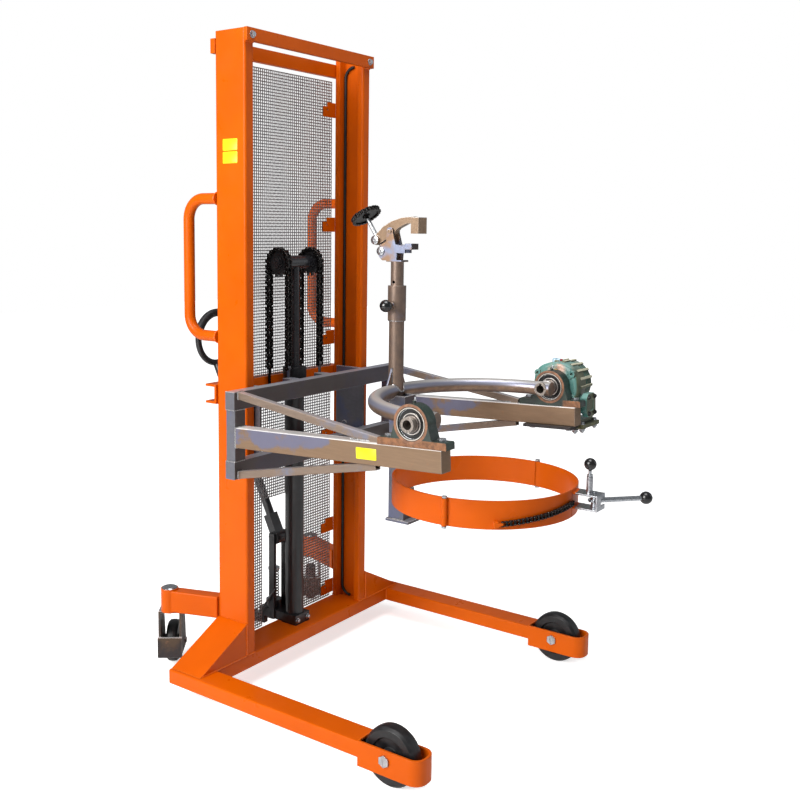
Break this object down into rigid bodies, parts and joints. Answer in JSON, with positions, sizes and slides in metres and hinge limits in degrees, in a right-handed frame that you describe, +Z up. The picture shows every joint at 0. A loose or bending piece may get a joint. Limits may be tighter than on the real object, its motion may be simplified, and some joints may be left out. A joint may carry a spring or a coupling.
{
  "type": "drum handler",
  "caption": "Pedestrian drum handler with a chain lifted carriage, tilting yoke, rim clamp and hinged drum band.",
  "frame": {"origin": "middle of the floor under the machine's box", "axes": "+X to the machine's right seen from the drum side, -Y towards the drum, +Z up"},
  "size_m": [1.191, 1.711, 2.24],
  "materials": {
    "orange_paint": "gloss powder coat",
    "black_paint": "satin black paint",
    "black_chain": "oiled blackened steel",
    "bare_steel": "bare rolled steel with heat tints",
    "bright_steel": "turned and zinc plated",
    "tyre": "solid nylon or rubber tread",
    "green_casting": "green cast iron paint",
    "galvanised_wire": "galvanised",
    "black_plastic": "moulded phenolic",
    "black_rubber": "matt"
  },
  "bodies": {
    "base": {"cross_beam": "orange_paint", "front_legs": "orange_paint", "outrigger_gussets": "orange_paint", "rear_arms": "orange_paint", "boss_caps": "bright_steel", "mast_columns": "orange_paint", "mast_bars": "orange_paint", "push_handles": "orange_paint", "mast_hose": "black_rubber", "upper_guard": "galvanised_wire", "lower_guard": "galvanised_wire", "guard_tabs": "orange_paint", "chain_anchors": "black_chain", "lift_cylinder": "black_paint", "pump_block": "black_paint", "pump_spring": "black_chain", "front_axles": "bright_steel"},
    "left_front_wheel": {"left_front_wheel": "tyre"},
    "right_front_wheel": {"right_front_wheel": "tyre"},
    "left_caster": {"left_caster_fork": "bare_steel"},
    "right_caster": {"right_caster_fork": "bare_steel"},
    "left_caster_wheel": {"left_caster_wheel": "tyre"},
    "right_caster_wheel": {"right_caster_wheel": "tyre"},
    "pump_plunger": {"pump_plunger": "bright_steel"},
    "tiller": {"tiller": "black_paint", "tiller_grip": "black_rubber"},
    "pedal": {"release_pedal": "black_paint"},
    "ram": {"ram": "black_paint", "lift_chains": "black_chain"},
    "left_sprocket": {"left_sprocket": "black_paint"},
    "right_sprocket": {"right_sprocket": "black_paint"},
    "carriage": {"carriage_frame": "bare_steel", "carriage_arms": "bare_steel", "arm_braces": "bare_steel", "plummer_blocks": "green_casting", "bearing_rings": "bright_steel", "carriage_bolts": "bright_steel", "gearbox": "green_casting", "gearbox_plate": "bare_steel"},
    "left_low_roller": {"left_low_roller": "bright_steel"},
    "left_high_roller": {"left_high_roller": "bright_steel"},
    "right_low_roller": {"right_low_roller": "bright_steel"},
    "right_high_roller": {"right_high_roller": "bright_steel"},
    "worm_shaft": {"worm_shaft": "bright_steel"},
    "yoke": {"yoke": "bare_steel", "stub_shafts": "bright_steel", "post": "bare_steel", "support_bar": "bare_steel", "rear_band": "orange_paint", "band_pins": "bright_steel"},
    "inner_tube": {"inner_tube": "bare_steel"},
    "plunger": {"plunger_knob": "black_plastic"},
    "upper_jaw": {"upper_jaw": "bare_steel"},
    "clamp_screw": {"clamp_screw": "bright_steel", "rim_chain": "black_chain"},
    "left_band": {"left_band": "orange_paint", "band_chain": "black_chain"},
    "right_band": {"right_band": "orange_paint"},
    "latch_lever": {"latch_lever": "bright_steel"},
    "latch_pin": {"latch_pin": "bright_steel"}
  },
  "joints": [
    {"name": "left_front_wheel_spin", "type": "hinge", "parent": "base", "child": "left_front_wheel", "pos_m": [-0.5445, -0.38944, 0.09], "axis": [1, 0, 0], "continuous": true},
    {"name": "left_caster_swivel", "type": "hinge", "parent": "base", "child": "left_caster", "pos_m": [-0.4055, 0.69156, 0.219], "axis": [0, 0, 1], "continuous": true},
    {"name": "left_caster_wheel_spin", "type": "hinge", "parent": "left_caster", "child": "left_caster_wheel", "pos_m": [-0.34088, 0.74204, 0.075], "axis": [-0.6157, 0.788, 0], "continuous": true},
    {"name": "right_front_wheel_spin", "type": "hinge", "parent": "base", "child": "right_front_wheel", "pos_m": [0.5255, -0.38944, 0.09], "axis": [1, 0, 0], "continuous": true},
    {"name": "right_caster_swivel", "type": "hinge", "parent": "base", "child": "right_caster", "pos_m": [0.3865, 0.69156, 0.219], "axis": [0, 0, 1], "continuous": true},
    {"name": "right_caster_wheel_spin", "type": "hinge", "parent": "right_caster", "child": "right_caster_wheel", "pos_m": [0.45112, 0.74204, 0.075], "axis": [-0.6157, 0.788, 0], "continuous": true},
    {"name": "tiller_pump", "type": "hinge", "parent": "base", "child": "tiller", "pos_m": [-0.0095, 0.52056, 0.429], "axis": [-1, 0, 0], "range_deg": [-3, 45]},
    {"name": "pump_stroke", "type": "slide", "parent": "base", "child": "pump_plunger", "axis": [0, 0, -1], "range_m": [-0.0011, 0.01649], "deforming": ["pump_spring"]},
    {"name": "pedal_press", "type": "hinge", "parent": "base", "child": "pedal", "pos_m": [-0.0095, 0.58956, 0.1], "axis": [-1, 0, 0], "range_deg": [0, 14]},
    {"name": "ram_lift", "type": "slide", "parent": "base", "child": "ram", "axis": [0, 0, 1], "range_m": [-0.28575, 0.32385], "deforming": ["lift_chains"]},
    {"name": "carriage_lift", "type": "slide", "parent": "ram", "child": "carriage", "axis": [0, 0, 1], "range_m": [-0.28575, 0.32385]},
    {"name": "left_sprocket_spin", "type": "hinge", "parent": "ram", "child": "left_sprocket", "pos_m": [-0.0975, 0.44056, 1.472], "axis": [-1, 0, 0], "range_deg": [-360, 408]},
    {"name": "right_sprocket_spin", "type": "hinge", "parent": "ram", "child": "right_sprocket", "pos_m": [0.0785, 0.44056, 1.472], "axis": [-1, 0, 0], "range_deg": [-360, 408]},
    {"name": "left_low_roller_spin", "type": "hinge", "parent": "carriage", "child": "left_low_roller", "pos_m": [-0.3245, 0.42956, 0.835], "axis": [1, 0, 0], "range_deg": [-770.46, 873.19]},
    {"name": "left_high_roller_spin", "type": "hinge", "parent": "carriage", "child": "left_high_roller", "pos_m": [-0.3245, 0.42956, 1.015], "axis": [1, 0, 0], "range_deg": [-770.46, 873.19]},
    {"name": "right_low_roller_spin", "type": "hinge", "parent": "carriage", "child": "right_low_roller", "pos_m": [0.3055, 0.42956, 0.835], "axis": [1, 0, 0], "range_deg": [-770.46, 873.19]},
    {"name": "right_high_roller_spin", "type": "hinge", "parent": "carriage", "child": "right_high_roller", "pos_m": [0.3055, 0.42956, 1.015], "axis": [1, 0, 0], "range_deg": [-770.46, 873.19]},
    {"name": "drum_tilt", "type": "hinge", "parent": "carriage", "child": "yoke", "pos_m": [-0.0095, -0.38344, 1.046], "axis": [1, 0, 0], "range_deg": [-8, 135]},
    {"name": "worm_turn", "type": "hinge", "parent": "carriage", "child": "worm_shaft", "pos_m": [0.5105, -0.3865, 0.97607], "axis": [0, 0.999, -0.0436], "range_deg": [-160, 2700]},
    {"name": "post_extend", "type": "slide", "parent": "yoke", "child": "inner_tube", "axis": [0, 0, 1], "range_m": [-0.078, 0.052]},
    {"name": "plunger_press", "type": "slide", "parent": "yoke", "child": "plunger", "axis": [1, 0, 0], "range_m": [-0.005, 0.007]},
    {"name": "clamp_turn", "type": "hinge", "parent": "inner_tube", "child": "clamp_screw", "pos_m": [-0.0095, 0.04206, 1.521], "axis": [0, 0.5519, 0.8339], "range_deg": [-540, 720]},
    {"name": "jaw_close", "type": "hinge", "parent": "inner_tube", "child": "upper_jaw", "pos_m": [-0.0095, 0.00656, 1.588], "axis": [1, 0, 0], "range_deg": [-5.12, 6.83]},
    {"name": "left_band_open", "type": "hinge", "parent": "yoke", "child": "left_band", "pos_m": [-0.31372, -0.4038, 0.715], "axis": [0, 0, 1], "range_deg": [-52, 0]},
    {"name": "right_band_open", "type": "hinge", "parent": "yoke", "child": "right_band", "pos_m": [0.29472, -0.4038, 0.715], "axis": [0, 0, -1], "range_deg": [-52, 0]},
    {"name": "latch_turn", "type": "hinge", "parent": "right_band", "child": "latch_lever", "pos_m": [0.0565, -0.72044, 0.768], "axis": [0, 0, 1], "range_deg": [-40, 20]},
    {"name": "latch_pin_lift", "type": "slide", "parent": "right_band", "child": "latch_pin", "axis": [0, 0, 1], "range_m": [0, 0.01]}
  ],
  "couplings": [
    {"joint": "carriage_lift", "follows": "ram_lift", "ratio": 1},
    {"joint": "pump_stroke", "follows": "tiller_pump", "m_per_rad": 0.021},
    {"joint": "worm_turn", "follows": "drum_tilt", "ratio": 20},
    {"joint": "jaw_close", "follows": "clamp_turn", "ratio": 0.0094876},
    {"joint": "left_sprocket_spin", "follows": "ram_lift", "rad_per_m": 21.988},
    {"joint": "left_low_roller_spin", "follows": "ram_lift", "rad_per_m": 47.059},
    {"joint": "left_high_roller_spin", "follows": "ram_lift", "rad_per_m": 47.059},
    {"joint": "right_sprocket_spin", "follows": "ram_lift", "rad_per_m": 21.988},
    {"joint": "right_low_roller_spin", "follows": "ram_lift", "rad_per_m": 47.059},
    {"joint": "right_high_roller_spin", "follows": "ram_lift", "rad_per_m": 47.059}
  ]
}
